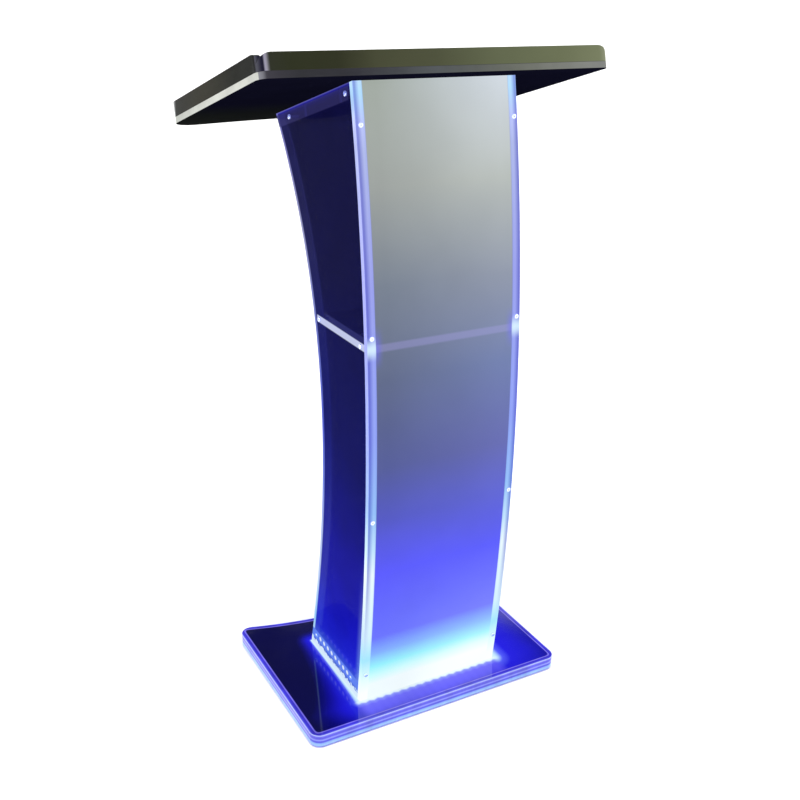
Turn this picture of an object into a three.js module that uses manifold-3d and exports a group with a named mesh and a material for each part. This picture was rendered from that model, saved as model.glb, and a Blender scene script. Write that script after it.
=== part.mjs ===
// Presentation lectern in clear acrylic with a lit base.
//
// Millimetres, +Z up. The lectern faces -Y, where the audience sits, and the speaker stands at +Y.
// The origin is on the floor, at the middle of the lectern's footprint seen from above.
//
// A thick base plate on four rubber feet carries two curved side panels and a curved frosted front
// panel, which is screwed over their front edges. Between the side panels stand a bottom plate with
// LED strips round its edge, a shelf and a top plate. A tilted desk tray lies on the panels.

import * as THREE from 'three';
import { mergeVertices } from 'three/addons/utils/BufferGeometryUtils.js';
import Module from 'manifold-3d';

const wasm = await Module();
wasm.setup();

// ---------------------------------------------------------------- driving dimensions

const GAP = 0.3;              // play between neighbouring pieces
const ARC_STEPS = 8;          // straight steps in a rounded corner
const EDGE_STEPS = 20;        // straight steps in a long curved edge
const ROUND_STEPS = 12;       // straight steps round a drilled hole or a screw

const FOOT = { radius: 15, height: 3, chamfer: 0.8, insetX: 41, frontY: -139, rearY: 132 };

const BASE = {
  halfWidth: 256,
  frontY: -179,
  rearMiddleY: 145,           // the rear edge is hollow: its middle lies furthest forward
  rearCornerY: 190,
  thickness: 24,
  cornerRadius: 20,
};

const COLUMN = {
  halfWidth: 142.2,
  sideThickness: 15,
  frontThickness: 10,
  // Heights and depths of the Bezier curves of the front panel's face and the side panels' rear edge.
  front: { low: 27, high: 1101.4, y: [-126.7, -172.0, -168.5, -96.6] },
  rear: { low: 27, high: 1024.5, y: [84, 6.3, -41.1, 196.6] },
};

const BOTTOM_PLATE = { lowZ: 49, thickness: 14, frontY: -105, rearY: 69.5, stripRecess: 3 };
const SHELF = { lowZ: 699, thickness: 12, rearY: 36 };
const TOP_PLATE = { drop: 4, thickness: 20, frontY: -86, rearY: 146.5 };

const DESK = {
  halfWidth: 300,
  tilt: THREE.MathUtils.degToRad(15.4),
  frontTopY: -124.2,
  frontTopZ: 1145.7,
  plateThickness: 10,
  height: 35.4,               // from the plate's underside to the rim's top
  rimThickness: 10,
  rearMiddle: 396,            // the rear edge is hollow too, measured down the slope
  rearCorner: 445,
  frontCornerRadius: 15,
  rearCornerRadius: 40,
  rimCornerRadius: 22,        // the rim's upper corners at the front, seen from the front or side
};

const SCREW = {
  shankRadius: 2,
  headRadius: 4,
  headHeight: 2.4,
  socketRadius: 1.5,
  socketDepth: 1.4,
  grip: 20,                   // length of thread in the second piece
  counterboreDepth: 3.4,
  counterboreRadius: 4.6,
};
const FRONT_SCREW_HEIGHTS = [88, 405, 722.5, 1040];
const FRONT_SCREW_INSET = 7.5;
const BASE_SCREW_Y = [-66, 32];
const DESK_SCREW_Y = [-38, 92];

const STRIP = { width: 10, thickness: 2.4, screwClearance: 8 };

const LEAD = { diameter: 4.8, sides: 8, steps: 56 };
const CONNECTOR = { x: -60, frontY: 34, rearY: 64, width: 18, height: 12 };
const RELIEF = { length: 20, thickRadius: 4.6, thinRadius: 3.1 };
const COIL = { x: 190, y: 245, innerRadius: 15.9, outerRadius: 37.5, height: 9.7 };
const PLUG = { bodyRadius: 5, bodyLength: 24, tipRadius: 2.75, tipLength: 9.5, axisZ: 7.6, turnRadius: 30.1 };
// The lead's route from its strain relief to the coil, chosen by hand.
const LEAD_ROUTE = [
  [-60, 84.3, 42], [-60.5, 94, 41.7], [-61.5, 106, 38.8], [-63, 118, 34], [-65, 131, 30.8], [-67, 145, 30.3],
  [-68.5, 156, 28], [-70, 166, 21], [-71.5, 175, 11], [-73, 185, 4.2], [-73, 197, 2.7], [-67, 210, 2.7],
  [-53, 219, 2.7], [-35, 222, 2.7], [-17, 217, 2.7], [-5, 204, 2.7], [0, 188, 2.7], [10, 175, 2.7],
  [27, 169, 2.7], [52, 171, 2.7], [80, 179, 2.7], [108, 191, 2.7], [135, 202, 2.7], [153, 208, 2.7],
  [171, 210, 2.7],
];

// ---------------------------------------------------------------- colours

const LOOKS = {
  clear: { color: 0x2a2f86, roughness: 0.05, metalness: 0, transparent: true, opacity: 0.45 },
  frosted: { color: 0x9aa6b4, roughness: 0.55, metalness: 0, transparent: true, opacity: 0.85 },
  tray: { color: 0x3c3d33, roughness: 0.08, metalness: 0, transparent: true, opacity: 0.7 },
  steel: { color: 0xc3c6cc, roughness: 0.28, metalness: 1 },
  rubber: { color: 0x1b1b1d, roughness: 0.85, metalness: 0 },
  light: { color: 0xd8ecff, roughness: 0.4, metalness: 0 },
  cable: { color: 0x141416, roughness: 0.6, metalness: 0 },
  nickel: { color: 0xb9bcc2, roughness: 0.25, metalness: 1 },
};

// ---------------------------------------------------------------- geometry helpers

function toSolid(geometry) {
  const bare = geometry.index ? geometry.toNonIndexed() : geometry.clone();
  bare.deleteAttribute('normal');
  bare.deleteAttribute('uv');
  const merged = mergeVertices(bare, 1e-4);
  return new wasm.Manifold(new wasm.Mesh({
    numProp: 3,
    vertProperties: new Float32Array(merged.attributes.position.array),
    triVerts: new Uint32Array(merged.index.array),
  }));
}

function toGeometry(solid) {
  const mesh = solid.getMesh();
  const geometry = new THREE.BufferGeometry();
  geometry.setAttribute('position', new THREE.BufferAttribute(mesh.vertProperties, 3));
  geometry.setIndex(new THREE.BufferAttribute(mesh.triVerts, 1));
  return geometry;
}

// A box between two corners.
function boxBetween(low, high) {
  const size = high.map((value, i) => value - low[i]);
  const geometry = new THREE.BoxGeometry(...size);
  geometry.translate(...high.map((value, i) => (value + low[i]) / 2));
  return geometry;
}

// A plan outline (x, y) raised from lowZ to highZ.
function raise(points, lowZ, highZ) {
  const shape = new THREE.Shape(points.map(([x, y]) => new THREE.Vector2(x, y)));
  const geometry = new THREE.ExtrudeGeometry(shape, { depth: highZ - lowZ, bevelEnabled: false });
  geometry.translate(0, 0, lowZ);
  return geometry;
}

// A side outline (y, z) spread from lowX to highX.
function spread(points, lowX, highX) {
  const geometry = raise(points, lowX, highX);
  const axes = [new THREE.Vector3(0, 1, 0), new THREE.Vector3(0, 0, 1), new THREE.Vector3(1, 0, 0)];
  geometry.applyMatrix4(new THREE.Matrix4().makeBasis(...axes));
  return geometry;
}

// A front outline (x, z) pushed from lowY to highY.
function push(points, lowY, highY) {
  const geometry = raise(points, -highY, -lowY);
  geometry.applyMatrix4(new THREE.Matrix4().makeRotationX(Math.PI / 2));
  return geometry;
}

// Points of a quarter turn of the given radius about (x, y), from one angle to another in degrees.
function arc(x, y, radius, fromDegrees, toDegrees) {
  return Array.from({ length: ARC_STEPS + 1 }, (_, i) => {
    const angle = THREE.MathUtils.degToRad(fromDegrees + (toDegrees - fromDegrees) * i / ARC_STEPS);
    return [x + radius * Math.cos(angle), y + radius * Math.sin(angle)];
  });
}

// Turns a piece made along +Z so that it runs from a point along a direction.
function aim(geometry, from, direction) {
  const turn = new THREE.Quaternion().setFromUnitVectors(new THREE.Vector3(0, 0, 1), direction);
  geometry.applyQuaternion(turn);
  geometry.translate(from.x, from.y, from.z);
  return geometry;
}

// A round tool for a hole that starts at a point and runs along a direction.
function drillTool(from, direction, radius, depth) {
  const tool = new THREE.CylinderGeometry(radius, radius, depth, ROUND_STEPS);
  tool.rotateX(Math.PI / 2);
  tool.translate(0, 0, depth / 2);
  return aim(tool, from, direction);
}

function drilled(geometry, tools) {
  return toGeometry(tools.reduce((solid, tool) => solid.subtract(toSolid(tool)), toSolid(geometry)));
}

function revolve(profile) {
  const points = profile.map(([radius, z]) => new THREE.Vector2(radius, z));
  const geometry = new THREE.LatheGeometry(points, ROUND_STEPS);
  geometry.rotateX(Math.PI / 2);
  return geometry;
}

// ---------------------------------------------------------------- outlines

function bezier([a, b, c, d], t) {
  const s = 1 - t;
  return a * s ** 3 + 3 * b * s * s * t + 3 * c * s * t * t + d * t ** 3;
}

const edgeY = (edge, z) => bezier(edge.y, (z - edge.low) / (edge.high - edge.low));
const frontFaceY = (z) => edgeY(COLUMN.front, z);
const frontRearFaceY = (z) => frontFaceY(z) + COLUMN.frontThickness;
const sideFrontY = (z) => frontRearFaceY(z) + GAP;
const sideRearY = (z) => edgeY(COLUMN.rear, z);

// The hollow arc at the back of the base and of the desk, as a parabola across the width.
const hollow = (x, halfWidth, middle, corner) => middle + (corner - middle) * (x / halfWidth) ** 2;

// Height of the desk plate's underside at a depth y.
const DESK_UNDER_Y = DESK.frontTopY - DESK.height * Math.sin(DESK.tilt);
const DESK_UNDER_Z = DESK.frontTopZ - DESK.height * Math.cos(DESK.tilt);
const deskUnderZ = (y) => DESK_UNDER_Z - Math.tan(DESK.tilt) * (y - DESK_UNDER_Y);

// The height at which a curved edge meets a plane parallel to the desk, a given drop below it.
function meetDesk(edge, drop) {
  let z = DESK_UNDER_Z;
  for (let i = 0; i < 12; i += 1) {
    z = deskUnderZ(edge(z)) - drop;
  }
  return z;
}

// Points (y, z) along an edge between two heights.
function edgePoints(edge, fromZ, toZ) {
  return Array.from({ length: EDGE_STEPS + 1 }, (_, i) => {
    const z = fromZ + (toZ - fromZ) * i / EDGE_STEPS;
    return [edge(z), z];
  });
}

// The hollow rear edge of a plate with its two rounded corners, from right to left. An inset moves it
// inwards.
function rearEdge({ halfWidth, middle, corner, rearRadius }, inset = 0) {
  const rear = (x) => hollow(x, halfWidth, middle, corner);
  const turnX = halfWidth - rearRadius;
  const lean = Math.atan(2 * (corner - middle) * turnX / halfWidth ** 2);
  const leanDegrees = THREE.MathUtils.radToDeg(lean);
  const turnY = rear(turnX - rearRadius * Math.sin(lean)) - rearRadius * Math.cos(lean);
  const radius = rearRadius - inset;
  const touchX = turnX - radius * Math.sin(lean);
  const across = Array.from({ length: EDGE_STEPS + 1 }, (_, i) => {
    const x = touchX - 2 * touchX * i / EDGE_STEPS;
    return [x, rear(x) - inset];
  });
  return [
    ...arc(turnX, turnY, radius, 0, 90 + leanDegrees).slice(0, -1),
    ...across,
    ...arc(-turnX, turnY, radius, 90 - leanDegrees, 180).slice(1),
  ];
}

// A plate outline with a straight front, straight sides, a hollow rear edge and rounded corners.
function plateOutline(plate) {
  const { halfWidth, frontY, frontRadius } = plate;
  return [
    ...arc(-halfWidth + frontRadius, frontY + frontRadius, frontRadius, 180, 270),
    ...arc(halfWidth - frontRadius, frontY + frontRadius, frontRadius, 270, 360),
    ...rearEdge(plate),
  ];
}

const baseOutline = plateOutline({
  halfWidth: BASE.halfWidth,
  frontY: BASE.frontY,
  middle: BASE.rearMiddleY,
  corner: BASE.rearCornerY,
  frontRadius: BASE.cornerRadius,
  rearRadius: BASE.cornerRadius,
});
const deskPlan = {
  halfWidth: DESK.halfWidth,
  frontY: 0,
  middle: DESK.rearMiddle,
  corner: DESK.rearCorner,
  frontRadius: DESK.frontCornerRadius,
  rearRadius: DESK.rearCornerRadius,
};
const deskOutline = plateOutline(deskPlan);

// ---------------------------------------------------------------- assembly

const lectern = new THREE.Group();
const desk = new THREE.Group();
desk.position.set(0, DESK.frontTopY, DESK.frontTopZ);
desk.rotation.x = -DESK.tilt;
lectern.add(desk);

const BASE_TOP = FOOT.height + BASE.thickness;
const SIDE_INNER_X = COLUMN.halfWidth - COLUMN.sideThickness;
const SIDE_MIDDLE_X = COLUMN.halfWidth - COLUMN.sideThickness / 2;
const PLATE_HALF_WIDTH = SIDE_INNER_X - GAP;
const SIDES = [{ side: 'left', sign: -1 }, { side: 'right', sign: 1 }];
const UP = new THREE.Vector3(0, 0, 1);
const DOWN = new THREE.Vector3(0, 0, -1);
const DESK_DOWN = new THREE.Vector3(0, -Math.sin(DESK.tilt), -Math.cos(DESK.tilt));

function add(name, geometry, look, parent = lectern) {
  const mesh = new THREE.Mesh(geometry, new THREE.MeshStandardMaterial(LOOKS[look]));
  mesh.name = name;
  parent.add(mesh);
}

// ---------------------------------------------------------------- screws

// A round-headed screw: `seat` is the point of the surface under its head, `into` its direction and
// `through` the thickness that it passes before the piece it grips.
function screw(name, seat, into, through) {
  return { name, seat, into, through, length: through + SCREW.grip };
}

const screws = {
  front: SIDES.flatMap(({ side, sign }) => FRONT_SCREW_HEIGHTS.map((z, i) => {
    const slope = (frontFaceY(z + 1) - frontFaceY(z - 1)) / 2;
    const seat = new THREE.Vector3(sign * (COLUMN.halfWidth - FRONT_SCREW_INSET), frontFaceY(z), z);
    const into = new THREE.Vector3(0, 1, -slope).normalize();
    return { side, ...screw(`screw_front_${side}_${i + 1}`, seat, into, COLUMN.frontThickness) };
  })),
  side: SIDES.flatMap(({ side, sign }) => {
    const topMiddle = TOP_PLATE.drop + TOP_PLATE.thickness / 2;
    const places = {
      bottom_plate_front: [-91, BOTTOM_PLATE.lowZ + BOTTOM_PLATE.thickness / 2],
      bottom_plate_rear: [57.6, BOTTOM_PLATE.lowZ + BOTTOM_PLATE.thickness / 2],
      shelf_front: [-128, SHELF.lowZ + SHELF.thickness / 2],
      shelf_rear: [25, SHELF.lowZ + SHELF.thickness / 2],
      top_plate_front: [-76, deskUnderZ(-76) - topMiddle / Math.cos(DESK.tilt)],
      top_plate_rear: [134.4, deskUnderZ(134.4) - topMiddle / Math.cos(DESK.tilt)],
    };
    return Object.entries(places).map(([place, [y, z]]) => {
      const seat = new THREE.Vector3(sign * COLUMN.halfWidth, y, z);
      const into = new THREE.Vector3(-sign, 0, 0);
      return { side, place, ...screw(`screw_${place}_${side}`, seat, into, COLUMN.sideThickness) };
    });
  }),
  base: SIDES.flatMap(({ side, sign }) => BASE_SCREW_Y.map((y, i) => {
    const seat = new THREE.Vector3(sign * SIDE_MIDDLE_X, y, FOOT.height + SCREW.counterboreDepth);
    const through = BASE.thickness - SCREW.counterboreDepth;
    return { side, ...screw(`screw_base_${side}_${i + 1}`, seat, UP, through) };
  })),
  desk: SIDES.flatMap(({ side, sign }) => DESK_SCREW_Y.map((y, i) => {
    const seat = new THREE.Vector3(sign * SIDE_MIDDLE_X, y, deskUnderZ(y));
    const through = DESK.plateThickness - SCREW.counterboreDepth;
    seat.addScaledVector(DESK_DOWN, -through);
    return { side, ...screw(`screw_desk_${side}_${i + 1}`, seat, DESK_DOWN, through) };
  })),
};

function screwGeometry({ seat, into, length }) {
  const { shankRadius, headRadius, headHeight, socketRadius, socketDepth } = SCREW;
  const under = -GAP;
  const top = under - headHeight;
  return aim(revolve([
    [0, top + socketDepth],
    [socketRadius, top + socketDepth],
    [socketRadius, top],
    [headRadius * 0.7, top + 0.3],
    [headRadius, under - headHeight * 0.45],
    [headRadius, under],
    [shankRadius, under],
    [shankRadius, length - 1],
    [shankRadius - 0.6, length],
    [0, length],
  ]), seat, into);
}

// The hole for a screw's shank: open past its seat, and a little deeper than its tip.
function shankHole({ seat, into, length }) {
  const start = seat.clone().addScaledVector(into, -1 - GAP);
  return drillTool(start, into, SCREW.shankRadius + GAP, length + 2 + GAP);
}

// The wider hole that a sunken head sits in.
function counterbore({ seat, into }) {
  const depth = SCREW.counterboreDepth + 2;
  const start = seat.clone().addScaledVector(into, -depth);
  return drillTool(start, into, SCREW.counterboreRadius, depth);
}

const holesFor = (list) => list.map(shankHole);
const onSide = (list, side) => list.filter((item) => item.side === side);
const atPlate = (plate) => screws.side.filter((item) => item.place.startsWith(plate));

Object.values(screws).flat().forEach((item) => add(item.name, screwGeometry(item), 'steel'));

// ---------------------------------------------------------------- base and feet

add('base_plate', drilled(
  raise(baseOutline, FOOT.height + GAP, BASE_TOP),
  [...holesFor(screws.base), ...screws.base.map(counterbore)],
), 'clear');

for (const { side, sign } of SIDES) {
  for (const [place, y] of Object.entries({ front: FOOT.frontY, rear: FOOT.rearY })) {
    const foot = revolve([
      [0, 0],
      [FOOT.radius - FOOT.chamfer, 0],
      [FOOT.radius, FOOT.chamfer],
      [FOOT.radius, FOOT.height],
      [0, FOOT.height],
    ]);
    foot.translate(sign * (BASE.halfWidth - FOOT.insetX), y, 0);
    add(`foot_${place}_${side}`, foot, 'rubber');
  }
}

// ---------------------------------------------------------------- column

const standZ = BASE_TOP + GAP;

for (const { side, sign } of SIDES) {
  const outline = [
    ...edgePoints(sideFrontY, standZ, meetDesk(sideFrontY, GAP)),
    ...edgePoints(sideRearY, meetDesk(sideRearY, GAP), standZ),
  ];
  const inner = sign * SIDE_INNER_X;
  const outer = sign * COLUMN.halfWidth;
  const holes = [...screws.front, ...screws.side, ...screws.base, ...screws.desk];
  const panel = spread(outline, Math.min(inner, outer), Math.max(inner, outer));
  add(`side_panel_${side}`, drilled(panel, holesFor(onSide(holes, side))), 'clear');
}

const frontOutline = [
  ...edgePoints(frontFaceY, standZ, meetDesk(frontFaceY, GAP)),
  ...edgePoints(frontRearFaceY, meetDesk(frontRearFaceY, GAP), standZ),
];
add('front_panel', drilled(
  spread(frontOutline, -COLUMN.halfWidth, COLUMN.halfWidth),
  holesFor(screws.front),
), 'frosted');

const shelfHighZ = SHELF.lowZ + SHELF.thickness;
add('shelf', drilled(
  boxBetween(
    [-PLATE_HALF_WIDTH, sideFrontY(shelfHighZ), SHELF.lowZ],
    [PLATE_HALF_WIDTH, SHELF.rearY, shelfHighZ],
  ),
  holesFor(atPlate('shelf')),
), 'clear');

// The top plate lies parallel to the desk, so its outline is a slanted bar seen from the side.
function slantedBar(frontY, rearY, drop, thickness) {
  const cosine = Math.cos(DESK.tilt);
  const high = (y) => [y, deskUnderZ(y) - drop / cosine];
  const low = (y) => [y, deskUnderZ(y) - (drop + thickness) / cosine];
  return [high(frontY), high(rearY), low(rearY), low(frontY)];
}
add('top_plate', drilled(
  spread(
    slantedBar(TOP_PLATE.frontY, TOP_PLATE.rearY, TOP_PLATE.drop, TOP_PLATE.thickness),
    -PLATE_HALF_WIDTH,
    PLATE_HALF_WIDTH,
  ),
  holesFor(atPlate('top_plate')),
), 'clear');

// ---------------------------------------------------------------- lit bottom plate

const [stripFrontY, stripRearY] = ['front', 'rear'].map((end) => {
  const item = screws.side.find(({ place }) => place === `bottom_plate_${end}`);
  return item.seat.y + (end === 'front' ? STRIP.screwClearance : -STRIP.screwClearance);
});
const plateHighZ = BOTTOM_PLATE.lowZ + BOTTOM_PLATE.thickness;
const recessX = PLATE_HALF_WIDTH - BOTTOM_PLATE.stripRecess;
const rightEdge = [
  [PLATE_HALF_WIDTH, BOTTOM_PLATE.frontY],
  [PLATE_HALF_WIDTH, stripFrontY],
  [recessX, stripFrontY],
  [recessX, stripRearY],
  [PLATE_HALF_WIDTH, stripRearY],
  [PLATE_HALF_WIDTH, BOTTOM_PLATE.rearY],
];
const leftEdge = rightEdge.map(([x, y]) => [-x, y]).reverse();
add('bottom_plate', drilled(
  raise([...rightEdge, ...leftEdge], BOTTOM_PLATE.lowZ, plateHighZ),
  holesFor(atPlate('bottom_plate')),
), 'clear');

const stripLowZ = BOTTOM_PLATE.lowZ + (BOTTOM_PLATE.thickness - STRIP.width) / 2;
const stripHighZ = stripLowZ + STRIP.width;
const STRIP_BACK = GAP + STRIP.thickness;

for (const { side, sign } of SIDES) {
  const back = sign * (recessX + GAP);
  const face = sign * (recessX + STRIP_BACK - GAP / 2);
  add(`led_strip_${side}`, boxBetween(
    [Math.min(back, face), stripFrontY + GAP, stripLowZ],
    [Math.max(back, face), stripRearY - GAP, stripHighZ],
  ), 'light');
}
const endStripHalf = PLATE_HALF_WIDTH - 2;
for (const [end, back, sign] of [['front', BOTTOM_PLATE.frontY, -1], ['rear', BOTTOM_PLATE.rearY, 1]]) {
  const near = back + sign * GAP;
  const far = back + sign * STRIP_BACK;
  add(`led_strip_${end}`, boxBetween(
    [-endStripHalf, Math.min(near, far), stripLowZ],
    [endStripHalf, Math.max(near, far), stripHighZ],
  ), 'light');
}

// ---------------------------------------------------------------- desk tray

// Inside the desk group x runs across, y down the slope from the front edge and z out of its face.
const rimLow = DESK.plateThickness - DESK.height + GAP;
const toDesk = new THREE.Matrix4().makeRotationX(-DESK.tilt);
toDesk.setPosition(0, DESK.frontTopY, DESK.frontTopZ);
const fromDesk = toDesk.clone().invert();
const deskTools = [...holesFor(screws.desk), ...screws.desk.map(counterbore)];
deskTools.forEach((tool) => tool.applyMatrix4(fromDesk));
add('desk_plate', drilled(
  raise(deskOutline, -DESK.height, DESK.plateThickness - DESK.height),
  deskTools,
), 'tray', desk);

const rimSlab = toSolid(raise(deskOutline, rimLow, 0));
const rimPiece = (tool) => toGeometry(rimSlab.intersect(toSolid(tool)));
const rimRadius = DESK.rimCornerRadius;
const innerX = DESK.halfWidth - DESK.rimThickness;
const beyond = 5;             // how far a cutting tool reaches past the tray

// Seen from the front: the rim's two upper corners are round.
add('rim_front', rimPiece(push([
  [-DESK.halfWidth, rimLow - beyond],
  [DESK.halfWidth, rimLow - beyond],
  ...arc(DESK.halfWidth - rimRadius, -rimRadius, rimRadius, 0, 90),
  ...arc(-DESK.halfWidth + rimRadius, -rimRadius, rimRadius, 90, 180),
], -beyond, DESK.rimThickness)), 'tray', desk);

// Seen from the side: the boards drop towards the front corner and end where the rear corner turns.
const rearInner = rearEdge(deskPlan, DESK.rimThickness);
const [, rearTurn] = rearInner[0];
const sideStart = DESK.rimThickness + GAP;
const sideBoard = [
  [sideStart, rimLow - beyond],
  [rearTurn - GAP, rimLow - beyond],
  [rearTurn - GAP, 0],
  ...arc(rimRadius, -rimRadius, rimRadius, 90, 180).filter(([y]) => y > sideStart),
  [sideStart, -rimRadius + Math.sqrt(rimRadius ** 2 - (rimRadius - sideStart) ** 2)],
];
add('rim_left', rimPiece(spread(sideBoard, -DESK.halfWidth - beyond, -innerX)), 'tray', desk);
add('rim_right', rimPiece(spread(sideBoard, innerX, DESK.halfWidth + beyond)), 'tray', desk);

// The rear board takes in both rounded corners.
add('rim_rear', rimPiece(raise([
  ...rearInner,
  [-DESK.halfWidth - beyond, rearTurn],
  [-DESK.halfWidth - beyond, DESK.rearCorner + beyond],
  [DESK.halfWidth + beyond, DESK.rearCorner + beyond],
  [DESK.halfWidth + beyond, rearTurn],
], rimLow - beyond, beyond)), 'tray', desk);

// ---------------------------------------------------------------- power lead

const connectorHighZ = BOTTOM_PLATE.lowZ - GAP;
const leadStart = new THREE.Vector3(...LEAD_ROUTE[0]);
add('lead_connector', boxBetween(
  [CONNECTOR.x - CONNECTOR.width / 2, CONNECTOR.frontY, connectorHighZ - CONNECTOR.height],
  [CONNECTOR.x + CONNECTOR.width / 2, CONNECTOR.rearY, connectorHighZ],
), 'cable');

const relief = revolve([
  [0, GAP],
  [RELIEF.thickRadius, GAP],
  [RELIEF.thinRadius, RELIEF.length],
  [0, RELIEF.length],
]);
const reliefBase = new THREE.Vector3(CONNECTOR.x, CONNECTOR.rearY, leadStart.z);
add('lead_strain_relief', aim(relief, reliefBase, new THREE.Vector3(0, 1, 0)), 'cable');

const leadCurve = new THREE.CatmullRomCurve3(LEAD_ROUTE.map((point) => new THREE.Vector3(...point)));
const leadRadius = LEAD.diameter / 2;
const leadSection = new THREE.Shape(Array.from({ length: LEAD.sides }, (_, i) => {
  const angle = 2 * Math.PI * (i + 0.5) / LEAD.sides;
  return new THREE.Vector2(leadRadius * Math.cos(angle), leadRadius * Math.sin(angle));
}));
add('power_lead', new THREE.ExtrudeGeometry(leadSection, {
  steps: LEAD.steps,
  extrudePath: leadCurve,
}), 'cable');

const coil = revolve([
  [COIL.innerRadius, GAP],
  [COIL.outerRadius, GAP],
  [COIL.outerRadius, GAP + COIL.height],
  [COIL.innerRadius, GAP + COIL.height],
  [COIL.innerRadius, GAP],
]);
coil.translate(COIL.x, COIL.y, 0);
add('power_lead_coil', coil, 'cable');

// The plug leaves the coil along the tangent of its outer upper turn, and lies beside it.
const plugStart = new THREE.Vector3(
  COIL.x + Math.sqrt(COIL.outerRadius ** 2 - (PLUG.turnRadius - RELIEF.thinRadius) ** 2) + 2 * GAP,
  COIL.y - PLUG.turnRadius,
  PLUG.axisZ,
);
const alongX = new THREE.Vector3(1, 0, 0);
const bodyEnd = RELIEF.length + PLUG.bodyLength;
add('power_plug_body', aim(revolve([
  [0, 0],
  [RELIEF.thinRadius, 0],
  [RELIEF.thickRadius, RELIEF.length],
  [PLUG.bodyRadius, RELIEF.length],
  [PLUG.bodyRadius, bodyEnd],
  [0, bodyEnd],
]), plugStart, alongX), 'cable');
add('power_plug_tip', aim(revolve([
  [0, bodyEnd + GAP],
  [PLUG.tipRadius, bodyEnd + GAP],
  [PLUG.tipRadius, bodyEnd + PLUG.tipLength],
  [0, bodyEnd + PLUG.tipLength],
]), plugStart, alongX), 'nickel');

// The origin is the middle of the footprint of the base and desk together.
const deskRearY = DESK.frontTopY + Math.max(...deskOutline.map(([, y]) => y)) * Math.cos(DESK.tilt);
lectern.position.y = -(BASE.frontY + deskRearY) / 2;

export default lectern;
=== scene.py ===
import math

import bmesh
import bpy
from mathutils import Matrix, Vector


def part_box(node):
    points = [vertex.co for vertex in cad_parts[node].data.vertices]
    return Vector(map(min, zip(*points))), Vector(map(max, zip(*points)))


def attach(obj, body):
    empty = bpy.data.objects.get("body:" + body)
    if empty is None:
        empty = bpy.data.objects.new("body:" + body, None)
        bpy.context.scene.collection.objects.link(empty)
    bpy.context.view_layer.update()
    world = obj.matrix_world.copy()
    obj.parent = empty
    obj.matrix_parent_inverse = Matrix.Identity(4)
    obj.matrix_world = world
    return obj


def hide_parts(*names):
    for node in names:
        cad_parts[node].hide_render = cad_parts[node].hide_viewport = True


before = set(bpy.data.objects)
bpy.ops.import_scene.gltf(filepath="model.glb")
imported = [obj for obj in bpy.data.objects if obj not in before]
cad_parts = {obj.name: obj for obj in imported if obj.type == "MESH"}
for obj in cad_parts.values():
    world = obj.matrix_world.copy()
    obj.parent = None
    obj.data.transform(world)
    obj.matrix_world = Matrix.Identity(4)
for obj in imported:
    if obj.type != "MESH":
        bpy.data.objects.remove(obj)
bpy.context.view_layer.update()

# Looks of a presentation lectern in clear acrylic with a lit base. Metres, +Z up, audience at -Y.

MM = 0.001
ROOT = "root"

# The base's front edge in the driving dimensions, whose zero lies nearer the audience than the origin.
BASE_FRONT_Y = -179 * MM
SHIFT_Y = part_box("base_plate")[0][1] - BASE_FRONT_Y


# ---------------------------------------------------------------- camera, floor and light


CAMERA = {"azimuth": -29.09, "elevation": 22.18, "roll": 1.03, "lens": 47.488}
CAMERA_PLACE = (-0.8444, -1.5180 + SHIFT_Y, 1.2505)
FAR_CLIP = 600

# The floor's (radius, height) rings. It slopes up far away, so that the backdrop stays pale.
FLOOR_PROFILE = [(12, 0), (20, 1.2), (30, 4.5), (50, 16), (70, 34), (90, 60)]
FLOOR_SIDES = 64


def place_camera():
    azimuth, elevation, roll = (math.radians(CAMERA[key]) for key in ("azimuth", "elevation", "roll"))
    back = Vector((
        math.sin(azimuth) * math.cos(elevation),
        -math.cos(azimuth) * math.cos(elevation),
        math.sin(elevation),
    ))
    level = Vector((math.cos(azimuth), math.sin(azimuth), 0))
    above = back.cross(level)
    right = level * math.cos(roll) + above * math.sin(roll)
    up = above * math.cos(roll) - level * math.sin(roll)
    camera = bpy.data.objects.new("camera", bpy.data.cameras.new("camera"))
    camera.data.lens = CAMERA["lens"]
    camera.data.sensor_width = 36
    camera.data.clip_end = FAR_CLIP
    place = Matrix((right, up, back)).transposed().to_4x4()
    place.translation = Vector(CAMERA_PLACE)
    camera.matrix_world = place
    bpy.context.scene.collection.objects.link(camera)
    bpy.context.scene.camera = camera


def area_light(name, place, target, size, power, color=(1, 1, 1)):
    data = bpy.data.lights.new(name, "AREA")
    data.shape = "RECTANGLE"
    data.size, data.size_y = size
    data.energy = power
    data.color = color
    light = bpy.data.objects.new(name, data)
    place = Vector(place)
    light.rotation_euler = (Vector(target) - place).to_track_quat("-Z", "Y").to_euler()
    light.location = place
    bpy.context.scene.collection.objects.link(light)


def set_stage():
    scene = bpy.context.scene
    scene.view_settings.view_transform = "Standard"
    world = bpy.data.worlds.new("studio")
    world.use_nodes = True
    world.node_tree.nodes["Background"].inputs["Color"].default_value = (0.9, 0.94, 1.0, 1)
    world.node_tree.nodes["Background"].inputs["Strength"].default_value = 0.07
    scene.world = world

    sun = bpy.data.lights.new("overhead", "SUN")
    sun.energy = 3.9
    sun.angle = math.radians(60)
    lamp = bpy.data.objects.new("overhead", sun)
    lamp.rotation_euler = (math.radians(8), math.radians(-6), 0)
    scene.collection.objects.link(lamp)
    area_light("left_softbox", (-2.6, -1.6, 1.9), (0, 0, 0.7), (1.4, 1.8), 16)
    area_light("right_softbox", (2.4, -1.2, 1.6), (0.1, 0, 0.7), (1.0, 1.8), 10)

    floor = bpy.data.objects.new("floor", studio_floor())
    scene.collection.objects.link(floor)
    paint = Paint("floor_paint", (0.9, 0.9, 0.9), 0.9)
    paint.vary_roughness(scale=6, low=0.85, high=0.95)
    floor.data.materials.append(paint.material)


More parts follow.
